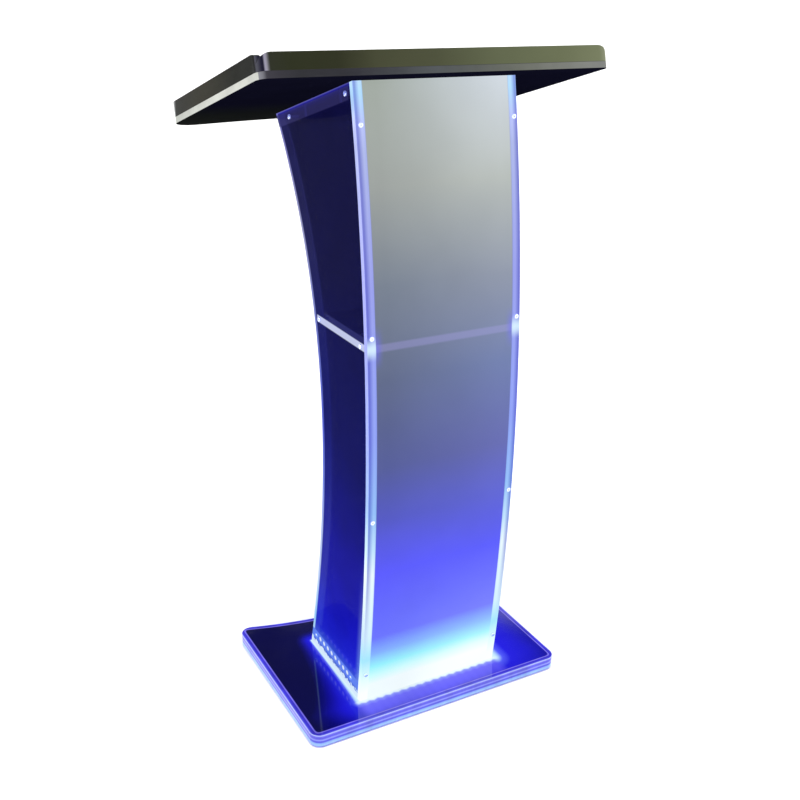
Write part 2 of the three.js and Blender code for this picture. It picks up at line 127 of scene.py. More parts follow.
def studio_floor():
    """A round floor of one flat disc inside rings that rise."""
    sides = FLOOR_SIDES
    verts = [(0, 0, 0)]
    for radius, height in FLOOR_PROFILE:
        for i in range(sides):
            angle = 2 * math.pi * i / sides
            verts.append((radius * math.cos(angle), radius * math.sin(angle), height))
    faces = []
    for i in range(sides):
        j = (i + 1) % sides
        faces.append((0, 1 + i, 1 + j))
        for ring in range(len(FLOOR_PROFILE) - 1):
            low, high = 1 + ring * sides, 1 + (ring + 1) * sides
            faces.append((low + i, high + i, high + j, low + j))
    mesh = bpy.data.meshes.new("floor")
    mesh.from_pydata(verts, [], faces)
    mesh.shade_smooth()
    return mesh


# ---------------------------------------------------------------- materials


class Paint:
    """A material of one Principled shader, with node-made colour, light and surface detail."""

    def __init__(self, name, color, roughness, metallic=0.0, specular=0.5, ior=1.49):
        self.material = bpy.data.materials.new(name)
        self.material.use_nodes = True
        self.nodes = self.material.node_tree.nodes
        self.links = self.material.node_tree.links
        self.shader = self.nodes["Principled BSDF"]
        self.output = self.nodes["Material Output"]
        self.set("Base Color", (*color, 1))
        self.set("Roughness", roughness)
        self.set("Metallic", metallic)
        self.set("Specular IOR Level", specular)
        self.set("IOR", ior)
        self.position = self.node("ShaderNodeTexCoord").outputs["Object"]
        self.axes = self.node("ShaderNodeSeparateXYZ")
        self.links.new(self.position, self.axes.inputs[0])

    def set(self, socket, value):
        self.shader.inputs[socket].default_value = value

    def node(self, kind, **inputs):
        node = self.nodes.new(kind)
        for name, value in inputs.items():
            node.inputs[name].default_value = value
        return node

    def feed(self, socket, output):
        self.links.new(output, self.shader.inputs[socket])

    def math(self, operation, a, b=0.0, clamp=False):
        node = self.nodes.new("ShaderNodeMath")
        node.operation = operation
        node.use_clamp = clamp
        for socket, value in zip(node.inputs, (a, b)):
            if isinstance(value, (int, float)):
                socket.default_value = value
            else:
                self.links.new(value, socket)
        return node.outputs[0]

    def hypotenuse(self, a, b):
        squares = [self.math("MULTIPLY", value, value) for value in (a, b)]
        return self.math("SQRT", self.math("ADD", *squares))

    def noise(self, scale, detail=2.0, stretch=(1, 1, 1)):
        mapping = self.nodes.new("ShaderNodeMapping")
        mapping.inputs["Scale"].default_value = stretch
        self.links.new(self.position, mapping.inputs["Vector"])
        noise = self.node("ShaderNodeTexNoise", Scale=scale, Detail=detail)
        self.links.new(mapping.outputs[0], noise.inputs["Vector"])
        return noise.outputs["Fac"]

    def between(self, value, low, high, out_low=0.0, out_high=1.0, smooth=False):
        node = self.nodes.new("ShaderNodeMapRange")
        node.interpolation_type = "SMOOTHSTEP" if smooth else "LINEAR"
        self.links.new(value, node.inputs["Value"])
        node.inputs["From Min"].default_value = low
        node.inputs["From Max"].default_value = high
        node.inputs["To Min"].default_value = out_low
        node.inputs["To Max"].default_value = out_high
        return node.outputs["Result"]

    def ramp(self, value, stops):
        """A colour ramp over (value, sRGB colour in 0-255) stops, which needn't lie between 0 and 1."""
        low, high = stops[0][0], stops[-1][0]
        node = self.nodes.new("ShaderNodeValToRGB")
        elements = node.color_ramp.elements
        for i, (at, color) in enumerate(stops):
            place = (at - low) / (high - low)
            element = elements[i] if i < len(elements) else elements.new(place)
            element.position = place
            element.color = (*linear(color), 1)
        self.links.new(self.between(value, low, high), node.inputs["Fac"])
        return node.outputs["Color"]

    def mix(self, factor, a, b, blend="MIX"):
        node = self.nodes.new("ShaderNodeMix")
        node.data_type = "RGBA"
        node.blend_type = blend
        color_a, color_b = [s for s in node.inputs if s.type == "RGBA"]
        for socket, value in ((node.inputs[0], factor), (color_a, a), (color_b, b)):
            if isinstance(value, (int, float)):
                socket.default_value = value
            elif isinstance(value, tuple):
                socket.default_value = (*value, 1)
            else:
                self.links.new(value, socket)
        return [s for s in node.outputs if s.type == "RGBA"][0]

    def vary_roughness(self, scale, low, high, detail=4.0, stretch=(1, 1, 1)):
        self.feed("Roughness", self.between(self.noise(scale, detail, stretch), 0.3, 0.7, low, high))

    def bump(self, scale, strength, distance=0.0002, detail=3.0, stretch=(1, 1, 1)):
        bump = self.nodes.new("ShaderNodeBump")
        bump.inputs["Strength"].default_value = strength
        bump.inputs["Distance"].default_value = distance
        self.links.new(self.noise(scale, detail, stretch), bump.inputs["Height"])
        self.feed("Normal", bump.outputs[0])

    def glow(self, color, strength=1.0):
        self.feed("Emission Color", color)
        self.set("Emission Strength", strength)

    def see_through(self, solid, tint):
        """Lets part of what is behind show, tinted."""
        clear = self.nodes.new("ShaderNodeBsdfTransparent")
        clear.inputs["Color"].default_value = (*tint, 1)
        blend = self.nodes.new("ShaderNodeMixShader")
        blend.inputs[0].default_value = solid
        self.links.new(clear.outputs[0], blend.inputs[1])
        self.links.new(self.shader.outputs[0], blend.inputs[2])
        self.links.new(blend.outputs[0], self.output.inputs["Surface"])


def linear(color):
    """An sRGB colour in 0-255 as the scene's linear values."""
    parts = (c / 255 for c in color)
    return tuple(c / 12.92 if c <= 0.04045 else ((c + 0.055) / 1.055) ** 2.4 for c in parts)


# Colours of the light that climbs in the acrylic, by height in metres.
CLEAR_FACE = [
    (0.030, (80, 120, 225)), (0.060, (60, 90, 215)), (0.085, (28, 34, 205)), (0.16, (20, 20, 185)),
    (0.25, (16, 14, 158)), (0.35, (9, 9, 125)), (0.45, (4, 7, 96)), (0.60, (3, 6, 76)),
    (0.80, (6, 6, 48)), (1.02, (8, 8, 44)), (1.10, (10, 10, 48)),
]
CLEAR_EDGE = [
    (0.030, (205, 235, 255)), (0.10, (160, 215, 252)), (0.20, (205, 225, 252)), (0.30, (190, 206, 245)),
    (0.40, (130, 150, 235)), (0.52, (85, 100, 215)), (0.70, (125, 135, 205)), (0.85, (160, 162, 200)),
    (1.02, (120, 118, 190)), (1.10, (90, 90, 160)),
]
FROSTED_LEFT = [
    (0.060, (240, 252, 255)), (0.080, (200, 252, 254)), (0.100, (146, 240, 252)), (0.130, (124, 170, 253)),
    (0.165, (96, 106, 254)), (0.30, (76, 76, 250)), (0.40, (67, 72, 190)), (0.50, (70, 79, 146)),
    (0.65, (86, 97, 132)), (0.80, (112, 122, 138)), (0.95, (153, 158, 154)), (1.10, (158, 166, 158)),
]
FROSTED_RIGHT = [
    (0.060, (250, 254, 255)), (0.080, (226, 254, 254)), (0.100, (165, 242, 252)), (0.130, (138, 186, 254)),
    (0.165, (110, 118, 254)), (0.30, (78, 80, 250)), (0.40, (82, 88, 208)), (0.50, (92, 98, 174)),
    (0.65, (103, 118, 166)), (0.80, (140, 148, 166)), (0.95, (180, 186, 182)), (1.10, (206, 214, 222)),
]
FRONT_BORDER = [
    (0.045, (250, 254, 254)), (0.075, (226, 252, 252)), (0.120, (160, 228, 252)), (0.17, (210, 240, 254)),
    (0.30, (232, 248, 253)), (0.35, (190, 226, 252)), (0.42, (145, 190, 246)), (0.55, (142, 160, 244)),
    (0.80, (152, 158, 234)), (1.00, (172, 182, 232)), (1.04, (186, 196, 250)), (1.085, (180, 225, 255)),
    (1.10, (190, 225, 255)),
]

# How the clear border of the front panel dims across its width, from the frosting to its outer edge.
BORDER_ACROSS = [
    (0.1265, (190, 190, 205)), (0.1282, (245, 248, 255)), (0.1325, (255, 255, 255)),
    (0.1365, (215, 215, 240)), (0.1395, (172, 172, 222)), (0.1422, (190, 190, 235)),
]

# Edge curves of the column, as Bezier values of y over a height range, the same as the model's.
FRONT_CURVE = {"low": 27 * MM, "high": 1101.4 * MM, "y": (-126.7, -172.0, -168.5, -96.6)}
REAR_CURVE = {"low": 27 * MM, "high": 1024.5 * MM, "y": (84, 6.3, -41.1, 196.6)}
DESK_TILT = math.radians(15.4)
DESK_TOP = Vector((0, -124.2 * MM + SHIFT_Y, 1145.7 * MM))
DESK_HEIGHT = 35.4 * MM
DESK_NORMAL = Vector((0, math.sin(DESK_TILT), math.cos(DESK_TILT)))
DESK_UNDER = DESK_TOP - DESK_HEIGHT * DESK_NORMAL


def curve_y(paint, curve):
    """The y of an edge curve at a surface point's height, worked out by nodes."""
    a, b, c, d = (value * MM + SHIFT_Y for value in curve["y"])
    t = paint.between(paint.axes.outputs["Z"], curve["low"], curve["high"])
    total = d - 3 * c + 3 * b - a
    for factor in (3 * (a - 2 * b + c), 3 * (b - a), a):
        total = paint.math("ADD", paint.math("MULTIPLY", total, t), factor)
    return total


def band(paint, distance, width):
    """1 at no distance, falling smoothly to 0 at the width."""
    return paint.between(distance, 0, width, 1, 0, smooth=True)


def below_desk(paint):
    """How far a surface point lies below the desk plate's underside."""
    fall = paint.math("MULTIPLY", paint.axes.outputs["Y"], -math.tan(DESK_TILT))
    plane = paint.math("ADD", fall, DESK_UNDER.z + math.tan(DESK_TILT) * DESK_UNDER.y)
    return paint.math("SUBTRACT", plane, paint.axes.outputs["Z"])


def mottle(paint, color, scale=9, low=0.82, high=1.12, stretch=(1, 1, 1)):
    """Slow uneven patches in a colour."""
    patch = paint.between(paint.noise(scale, 3, stretch), 0.3, 0.7, low, high)
    node = paint.nodes.new("ShaderNodeVectorMath")
    node.operation = "SCALE"
    paint.links.new(color, node.inputs[0])
    paint.links.new(patch, node.inputs["Scale"])
    return node.outputs[0]


LAMP_HEIGHT = 56 * MM
LAMP_PITCH = 16.7 * MM
STRIP_ENDS = 8 * MM             # the least length past the outer packages' middles, both ends together


def side_face_paint():
    """The side panels' faces, whose light is painted by height and place. The lamps' dots and band are drawn
    here, not seen through the panel.
    """
    paint = Paint("clear_acrylic_face", linear((6, 6, 26)), 0.05, ior=1.03)
    z = paint.axes.outputs["Z"]
    y = paint.axes.outputs["Y"]
    light = mottle(paint, paint.ramp(z, CLEAR_FACE))
    # Painted highlights: bright bands in the edges' light along the rear and front edges and under the desk,
    # and a painted blue glow fading down from the desk.
    edge = paint.ramp(z, CLEAR_EDGE)
    rear_gap = paint.math("SUBTRACT", curve_y(paint, REAR_CURVE), y)
    rear = paint.between(rear_gap, 5 * MM, 10 * MM, 1, 0, smooth=True)
    front_gap = paint.math("SUBTRACT", y, curve_y(paint, FRONT_CURVE))
    low = paint.between(z, 0.35, 0.05, 0.0, 0.45, smooth=True)
    front = paint.math("MULTIPLY", band(paint, front_gap, 30 * MM), low)
    top = paint.math("MULTIPLY", band(paint, below_desk(paint), 3.5 * MM), 0.85)
    under_desk_glow = paint.math("MULTIPLY", band(paint, below_desk(paint), 16 * MM), 0.35)
    light = paint.mix(under_desk_glow, light, linear((40, 36, 230)))
    for mask in (front, rear, top):
        light = paint.mix(mask, light, edge)
    # The shelf's end is painted as a bright line and the top plate's end as a darker band, where they show
    # through the panel.
    light = paint.mix(shelf_end(paint), light, linear((206, 214, 244)))
    light = paint.mix(top_plate_end(paint), light, linear((48, 46, 92)))
    off_lamps = paint.math("ABSOLUTE", paint.math("SUBTRACT", z, LAMP_HEIGHT))
    lamp_band = paint.between(off_lamps, 8 * MM, 11 * MM, 1, 0, smooth=True)
    light = paint.mix(lamp_band, light, linear((96, 132, 242)))
    light = paint.mix(lamp_dots(paint), light, linear((232, 246, 255)))
    # A painted glow along the panel's foot, up to an uneven height near 40 mm.
    patchy = paint.between(paint.noise(160, 2), 0.35, 0.65, 38 * MM, 45 * MM)
    foot = paint.between(paint.math("SUBTRACT", z, patchy), -3 * MM, 3 * MM, 1, 0, smooth=True)
    light = paint.mix(foot, light, linear((225, 246, 255)))
    paint.glow(light)
    paint.vary_roughness(14, 0.03, 0.09)
    paint.bump(60, 0.05)
    paint.see_through(0.86, (0.24, 0.24, 0.7))
    return paint.material


def lamp_row(paint, axis, node):
    """How far a point lies along a strip from its nearest LED package."""
    along = "XYZ".index(axis)
    low, high = (corner[along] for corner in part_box(node))
    from_middle = paint.math("SUBTRACT", paint.axes.outputs[axis], (low + high) / 2)
    steps = paint.math("DIVIDE", from_middle, LAMP_PITCH)
    count = int((high - low - STRIP_ENDS) // LAMP_PITCH) + 1
    shifted = paint.math("ADD", steps, 100.5 if count % 2 else 100.0)
    off = paint.math("ABSOLUTE", paint.math("SUBTRACT", paint.math("FRACT", shifted), 0.5))
    return paint.math("MULTIPLY", off, LAMP_PITCH)


def lamp_dots(paint):
    """1 on the bright spots that a side strip's packages make in a side panel."""
    along = lamp_row(paint, "Y", "led_strip_left")
    above = paint.math("SUBTRACT", paint.axes.outputs["Z"], LAMP_HEIGHT)
    dots = paint.between(paint.hypotenuse(along, above), 3 * MM, 5.5 * MM, 1, 0, smooth=True)
    low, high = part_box("led_strip_left")
    y = paint.axes.outputs["Y"]
    past_front = paint.between(y, low[1] - 1 * MM, low[1])
    short_of_rear = paint.between(y, high[1] + 1 * MM, high[1])
    return paint.math("MULTIPLY", dots, paint.math("MULTIPLY", past_front, short_of_rear))


def shelf_end(paint):
    """A painted bright line where the shelf's end meets a side panel."""
    low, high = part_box("shelf")
    z, y = paint.axes.outputs["Z"], paint.axes.outputs["Y"]
    middle, half = (low[2] + high[2]) / 2, (high[2] - low[2]) / 2
    off = paint.math("ABSOLUTE", paint.math("SUBTRACT", z, middle))
    line = paint.between(off, half - 1 * MM, half + 0.6 * MM, 1, 0)
    reach = paint.between(y, high[1] - 1 * MM, high[1] + 1 * MM, 1, 0)
    return paint.math("MULTIPLY", line, reach)


def top_plate_end(paint):
    """1 where the top plate's end lies against a side panel, under the desk, for a painted darker band there.
    """
    low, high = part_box("top_plate")
    depth, y = below_desk(paint), paint.axes.outputs["Y"]
    thick = paint.math(
        "MULTIPLY", paint.between(depth, 3 * MM, 5 * MM), paint.between(depth, 26 * MM, 24 * MM)
    )
    reach = paint.between(y, low[1], low[1] + 3 * MM)
    return paint.math("MULTIPLY", paint.math("MULTIPLY", thick, reach), 0.8)


# Sawn edges of the boards and the base, glowing with painted light by height.
def edge_paint(name="clear_acrylic_edge", stops=CLEAR_EDGE, strength=1.0):
    paint = Paint(name, linear((40, 44, 90)), 0.12, specular=0.4)
    light = mottle(paint, paint.ramp(paint.axes.outputs["Z"], stops), 40, 0.75, 1.1, (1, 1, 0.25))
    paint.glow(light, strength)
    paint.vary_roughness(90, 0.08, 0.25, stretch=(1, 1, 0.1))
    paint.bump(220, 0.15, stretch=(1, 1, 0.06))
    return paint.material


# The frosted front panel: painted light by height, lighter towards the right, in a brighter border.
def frosted_paint():
    paint = Paint("frosted_acrylic_face", linear((34, 36, 38)), 0.5, specular=0.1)
    z = paint.axes.outputs["Z"]
    x = paint.axes.outputs["X"]
    across = paint.between(x, -0.105, 0.110)
    face = paint.mix(across, paint.ramp(z, FROSTED_LEFT), paint.ramp(z, FROSTED_RIGHT))
    face = mottle(paint, face, 5, 0.93, 1.05)
    off = paint.math("ABSOLUTE", x)
    profile = paint.mix(paint.between(z, 0.30, 0.12), paint.ramp(off, BORDER_ACROSS), (1.0, 1.0, 1.0))
    border = paint.mix(1.0, paint.ramp(z, FRONT_BORDER), profile, "MULTIPLY")
    # Painted light where the shelf meets the panel: a faint line and a halo on the frosting, and the border
    # brighter at the shelf's height.
    low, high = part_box("shelf")
    off_shelf = paint.math("ABSOLUTE", paint.math("SUBTRACT", z, (low[2] + high[2]) / 2))
    shelf_line = paint.between(off_shelf, 4 * MM, 8 * MM, 0.22, 0, smooth=True)
    face = paint.mix(shelf_line, face, linear((178, 170, 248)))
    inward = paint.math("SUBTRACT", 128 * MM, off)
    halo = paint.math("MULTIPLY", band(paint, off_shelf, 40 * MM), band(paint, inward, 16 * MM))
    face = paint.mix(paint.math("MULTIPLY", halo, 0.5), face, linear((104, 100, 250)))
    shelf_joint_glow = paint.math("MULTIPLY", band(paint, off_shelf, 22 * MM), 0.9)
    border = paint.mix(shelf_joint_glow, border, linear((215, 240, 255)))
    rim = paint.between(off, 126 * MM, 128 * MM, smooth=True)
    paint.glow(paint.mix(rim, face, border))
    paint.vary_roughness(30, 0.42, 0.58)
    paint.bump(1400, 0.25, distance=0.0001)
    return paint.material


# Painted light of the inner plates' faces and edges, by height in metres.
SHELF_LIGHT = [(0.69, (30, 32, 120)), (0.72, (36, 38, 132))]
SHELF_EDGE = [(0.69, (190, 198, 240)), (0.72, (215, 222, 250))]
TOP_LIGHT = [(0.98, (16, 17, 66)), (1.12, (20, 21, 84))]
TOP_EDGE = [(0.98, (130, 132, 170)), (1.12, (150, 152, 200))]
BOTTOM_LIGHT = [(0.049, (120, 150, 250)), (0.063, (60, 70, 220))]
BOTTOM_EDGE = [(0.049, (150, 190, 255)), (0.063, (120, 150, 250))]


def plate_paint(name, stops, solid=0.6, specular=0.3):
    """Clear plates inside the column, with painted light by height."""
    paint = Paint(name, linear((14, 16, 60)), 0.05, specular=specular)
    paint.glow(mottle(paint, paint.ramp(paint.axes.outputs["Z"], stops)))
    paint.vary_roughness(16, 0.03, 0.1)
    paint.bump(70, 0.05)
    paint.see_through(solid, (0.35, 0.35, 0.8))
    return paint.material


BASE_REAR_MIDDLE = 145 * MM + SHIFT_Y
BASE_REAR_BOW = 45 * MM / (256 * MM) ** 2
# Painted light of the base, in metres: its glow by distance from the column's foot and, in front of the
# column, with the front strip's scallops; its top's border by distance from the edge; and its sides' bands by
# height.
BASE_GLOW = [
    (0.000, (225, 250, 254)), (0.005, (190, 225, 254)), (0.010, (80, 90, 245)), (0.018, (32, 27, 222)),
    (0.036, (26, 22, 200)), (0.054, (19, 16, 158)), (0.075, (8, 7, 104)), (0.10, (2, 2, 66)),
    (0.30, (2, 2, 60)),
]
FRONT_GLOW = [
    (0.000, (240, 252, 255)), (0.006, (225, 245, 255)), (0.010, (130, 140, 252)), (0.018, (96, 92, 250)),
    (0.034, (84, 78, 246)), (0.046, (70, 64, 228)), (0.060, (60, 54, 210)),
]
BASE_BORDER = [
    (0.0000, (150, 155, 250)), (0.0012, (96, 96, 235)), (0.0030, (66, 60, 215)), (0.0068, (58, 52, 205)),
    (0.0078, (130, 122, 240)), (0.0090, (120, 112, 236)), (0.0105, (40, 34, 170)),
]
BASE_SIDE = [
    (0.003, (110, 140, 240)), (0.0055, (160, 200, 252)), (0.0095, (140, 180, 250)), (0.0120, (70, 66, 215)),
    (0.0145, (86, 84, 228)), (0.0165, (150, 160, 248)), (0.0185, (96, 92, 230)), (0.0215, (70, 64, 215)),
    (0.0245, (120, 118, 240)), (0.0258, (190, 205, 254)), (0.0265, (180, 195, 252)),
]


def base_paint():
    """The base's body: deep navy with a lit border, and the column's light spilling round its foot."""
    paint = Paint("base_acrylic_face", linear((3, 3, 22)), 0.03, specular=0.5)
    x, y = paint.axes.outputs["X"], paint.axes.outputs["Y"]
    side = paint.math("ABSOLUTE", x)
    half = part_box("front_panel")[1][0]
    front, rear = column_foot()
    beside = paint.math("MAXIMUM", paint.math("SUBTRACT", side, half), 0.0)
    middle, depth = (front + rear) / 2, (rear - front) / 2
    out = paint.math("SUBTRACT", paint.math("ABSOLUTE", paint.math("SUBTRACT", y, middle)), depth)
    ahead = paint.math("MAXIMUM", out, 0.0)
    distance = paint.hypotenuse(beside, ahead)
    fade_left = paint.between(y, front, rear, 1.0, 3.2)
    on_right = paint.between(x, -0.06, 0.06, smooth=True)
    on_left = paint.math("SUBTRACT", 1.0, on_right)
    left_part = paint.math("MULTIPLY", fade_left, on_left)
    fade = paint.math("ADD", left_part, paint.math("MULTIPLY", on_right, 0.5))
    light = paint.ramp(paint.math("MULTIPLY", distance, fade), BASE_GLOW)

    in_front = paint.math(
        "MULTIPLY", paint.between(y, front + 2 * MM, front, smooth=True),
        paint.between(side, half + 14 * MM, half - 6 * MM, smooth=True),
    )
    scallop = paint.math("MULTIPLY", lamp_row(paint, "X", "led_strip_front"), 0.35)
    light = paint.mix(in_front, light, paint.ramp(paint.math("ADD", ahead, scallop), FRONT_GLOW))
    light = mottle(paint, light, 7, 0.85, 1.1)

    nearest = base_edge_gap(paint)
    line = mottle(paint, paint.ramp(nearest, BASE_BORDER), 30, 0.75, 1.15)
    light = paint.mix(paint.between(nearest, 10.5 * MM, 9.5 * MM), light, line)
    paint.glow(light)
    paint.vary_roughness(12, 0.02, 0.07)
    paint.bump(40, 0.04)
    return paint.material


def base_edge_gap(paint):
    """How far a point of the base lies from its nearest edge, rounded where two edges meet."""
    x, y = paint.axes.outputs["X"], paint.axes.outputs["Y"]
    side = paint.math("ABSOLUTE", x)
    low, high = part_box("base_plate")
    bow = paint.math("MULTIPLY", paint.math("MULTIPLY", x, x), BASE_REAR_BOW)
    rear_gap = paint.math("SUBTRACT", paint.math("ADD", bow, BASE_REAR_MIDDLE), y)
    gaps = (paint.math("SUBTRACT", high[0], side), paint.math("SUBTRACT", y, low[1]), rear_gap)
    nearest = gaps[0]
    for gap in gaps[1:]:
        smallest = paint.nodes.new("ShaderNodeMath")
        smallest.operation = "SMOOTH_MIN"
        paint.links.new(nearest, smallest.inputs[0])
        paint.links.new(gap, smallest.inputs[1])
        smallest.inputs[2].default_value = 14 * MM
        nearest = smallest.outputs[0]
    return nearest


def column_foot():
    """The y of the column's front and rear at its foot."""
    return (
        FRONT_CURVE["y"][0] * MM + SHIFT_Y,
        REAR_CURVE["y"][0] * MM + SHIFT_Y,
    )


# Painted light on the desk and its tray, by place in metres: their grey and olive tones, lighter towards the
# right, the dark underside, the bright plate sides and the bright lines along the rims.
RIM_ACROSS = [
    (-0.3000, (84, 84, 94)), (-0.2965, (80, 80, 92)), (-0.2945, (30, 26, 52)), (-0.2905, (24, 22, 44)),
    (-0.2885, (160, 156, 178)), (-0.2855, (140, 138, 150)), (-0.2825, (46, 48, 38)), (-0.25, (44, 47, 31)),
    (-0.18, (48, 50, 34)), (-0.12, (68, 70, 51)), (-0.02, (78, 81, 60)), (0.10, (98, 104, 78)),
    (0.20, (106, 112, 84)), (0.28, (118, 124, 95)), (0.30, (150, 154, 130)),
]
PLATE_FRONT = [
    (-0.3000, (150, 150, 158)), (-0.2930, (120, 120, 128)), (-0.2880, (60, 58, 66)), (-0.24, (44, 44, 48)),
    (-0.15, (46, 46, 52)), (-0.02, (78, 82, 84)), (0.12, (104, 107, 98)), (0.22, (122, 124, 118)),
    (0.30, (140, 142, 138)),
]
PLATE_SIDE = [(-0.24, (206, 209, 202)), (-0.05, (214, 216, 208)), (0.25, (190, 194, 186))]
RIM_SIDE = [
    (-0.19, (60, 60, 66)), (-0.165, (30, 32, 29)), (-0.10, (22, 24, 18)), (0.05, (44, 42, 30)),
    (0.15, (36, 36, 30)), (0.188, (44, 45, 42)), (0.198, (150, 152, 152)), (0.206, (172, 175, 175)),
    (0.24, (120, 122, 120)),
]
UNDERSIDE = [(-0.18, (10, 10, 26)), (0.02, (8, 8, 22)), (0.12, (16, 18, 16)), (0.22, (22, 24, 20))]
DESK_FACE = [(-0.24, (34, 35, 34)), (0.25, (40, 42, 40))]


def tray_side_paint():
    """The tray's rim boards: clear acrylic whose olive grey, lighter towards the right, is painted light."""
    paint = Paint("tray_rim_acrylic", linear((10, 11, 8)), 0.06, ior=1.05)
    across = paint.ramp(paint.axes.outputs["X"], RIM_ACROSS)
    paint.glow(mottle(paint, across, 6, 0.9, 1.08))
    paint.vary_roughness(20, 0.04, 0.1)
    paint.bump(80, 0.05)
    return paint.material


def plain_glow_paint(name, base, stops, axis="X", roughness=0.08, specular=0.5, scale=20):
    paint = Paint(name, linear(base), roughness, specular=specular, ior=1.05)
    paint.glow(mottle(paint, paint.ramp(paint.axes.outputs[axis], stops), scale, 0.85, 1.1))
    paint.vary_roughness(scale * 2, roughness * 0.6, roughness * 1.8)
    paint.bump(scale * 4, 0.06)
    return paint.material


# Painted blue light on the screws, by height, as from the glowing acrylic round them.
SCREW_LIGHT = [(0.0, (120, 170, 255)), (0.3, (90, 110, 250)), (0.72, (150, 160, 250)), (1.1, (150, 165, 255))]


def steel_paint():
    paint = Paint("polished_steel", linear((205, 210, 228)), 0.18, metallic=1.0)
    paint.vary_roughness(900, 0.12, 0.3, stretch=(1, 1, 0.2))
    paint.bump(2600, 0.12, distance=0.00005)
    paint.glow(paint.ramp(paint.axes.outputs["Z"], SCREW_LIGHT), 0.55)
    return paint.material


def rubber_paint():
    paint = Paint("foot_rubber", linear((26, 26, 28)), 0.8, specular=0.3)
    paint.vary_roughness(400, 0.7, 0.95)
    paint.bump(900, 0.4)
    return paint.material


def cable_paint(name="cable_sheath", roughness=0.45):
    paint = Paint(name, linear((20, 20, 23)), roughness, specular=0.4)
    paint.vary_roughness(300, roughness * 0.8, roughness * 1.3)
    paint.bump(1200, 0.15, distance=0.0001)
    return paint.material


def nickel_paint():
    paint = Paint("plug_nickel", linear((200, 202, 208)), 0.2, metallic=1.0)
    paint.vary_roughness(1500, 0.12, 0.3)
    paint.bump(3000, 0.08, distance=0.00005)
    return paint.material


# The white ribbon, with painted blue light by height.
def strip_paint():
    paint = Paint("strip_circuit", linear((225, 232, 240)), 0.45)
    paint.glow(paint.ramp(paint.axes.outputs["Z"], [(0.05, (90, 130, 245)), (0.063, (80, 120, 240))]), 0.6)
    paint.vary_roughness(500, 0.35, 0.6)
    paint.bump(1500, 0.1)
    return paint.material


def lamp_paint():
    paint = Paint("led_package", linear((240, 246, 255)), 0.3)
    paint.glow(paint.ramp(paint.axes.outputs["Z"], [(0.05, (225, 240, 255)), (0.063, (235, 246, 255))]), 6.0)
    paint.vary_roughness(900, 0.2, 0.4)
    return paint.material


# ---------------------------------------------------------------- mesh helpers


def piece(name, mesh, materials, nodes):
    """Adds a finished piece that rides on the one body and stands for its CAD nodes."""
    for material in materials:
        mesh.materials.append(material)
    mesh.set_sharp_from_angle(angle=math.radians(32))
    made = bpy.data.objects.new(name, mesh)
    bpy.context.scene.collection.objects.link(made)
    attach(made, ROOT)
    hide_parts(*nodes)
    return made


def smooth_mesh(name, work):
    for face in work.faces:
        face.smooth = True
    mesh = bpy.data.meshes.new(name)
    work.to_mesh(mesh)
    work.free()
    return mesh


def sharp_edges(work, degrees=34):
    return [
        edge for edge in work.edges
        if len(edge.link_faces) == 2 and edge.calc_face_angle() > math.radians(degrees)
    ]


def machined(node, bevel, choose):
    """A node's own shape with its flat faces made whole and its sharp edges broken by a fine bevel.

    `choose` gives a face's material number from its normal and centre, before the bevel.
    """
    work = bmesh.new()
    work.from_mesh(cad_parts[node].data)
    bmesh.ops.remove_doubles(work, verts=work.verts, dist=0.00001)
    bmesh.ops.dissolve_limit(
        work, angle_limit=math.radians(0.4), verts=work.verts, edges=work.edges, delimit=set()
    )
    for face in work.faces:
        face.material_index = choose(face.normal, face.calc_center_median())
    bmesh.ops.bevel(
        work, geom=sharp_edges(work), offset=bevel, segments=2, profile=0.5, affect="EDGES",
        clamp_overlap=True, loop_slide=True, material=-1,
    )
    bmesh.ops.recalc_face_normals(work, faces=work.faces)
    return smooth_mesh(node, work)


def keep_flats(made):
    """Shades big flat faces flat and lets only the bevels turn the light."""
    weighted = made.modifiers.new("flat_faces", "WEIGHTED_NORMAL")
    weighted.keep_sharp = False
    weighted.weight = 100


def turned(profile, sides):
    """A turned shape along +Z from (radius, height) rings in mm. A third number gives a ring's corners."""
    work = bmesh.new()
    rings = []
    for radius, height, *corners in profile:
        ring = []
        for i in range(sides):
            angle = 2 * math.pi * i / sides
            reach = radius
            if corners:
                step = 2 * math.pi / corners[0]
                reach = radius * math.cos(step / 2) / math.cos(angle % step - step / 2)
            spot = Vector((reach * math.cos(angle), reach * math.sin(angle), height))
            ring.append(work.verts.new(spot * MM))
        rings.append(ring)
    for low, high in zip(rings, rings[1:]):
        for i in range(sides):
            j = (i + 1) % sides
            work.faces.new((low[i], low[j], high[j], high[i]))
    work.faces.new(list(reversed(rings[0])))
    work.faces.new(rings[-1])
    return work


def aim(work, start, direction):
    turn = Vector((0, 0, 1)).rotation_difference(Vector(direction)).to_matrix().to_4x4()
    bmesh.ops.transform(work, matrix=Matrix.Translation(start) @ turn, verts=work.verts)


def box_into(work, low, high, bevel=0.0, material=0):
    """Adds a box between two corners to a mesh, with its edges bevelled."""
    size = [high[i] - low[i] for i in range(3)]
    middle = [(high[i] + low[i]) / 2 for i in range(3)]
    place = Matrix.Translation(middle) @ Matrix.Diagonal((*size, 1))
    verts = bmesh.ops.create_cube(work, size=1, matrix=place)["verts"]
    faces = {face for vert in verts for face in vert.link_faces}
    for face in faces:
        face.material_index = material
    if bevel:
        edges = {edge for face in faces for edge in face.edges}
        bmesh.ops.bevel(
            work, geom=list(edges), offset=bevel, segments=2, profile=0.5, affect="EDGES", material=-1
        )


# ---------------------------------------------------------------- boards and plates


def place(x, y, z):
    """A point of the model's own millimetres in the lectern's metres."""
    return Vector((x * MM, y * MM + SHIFT_Y, z * MM))


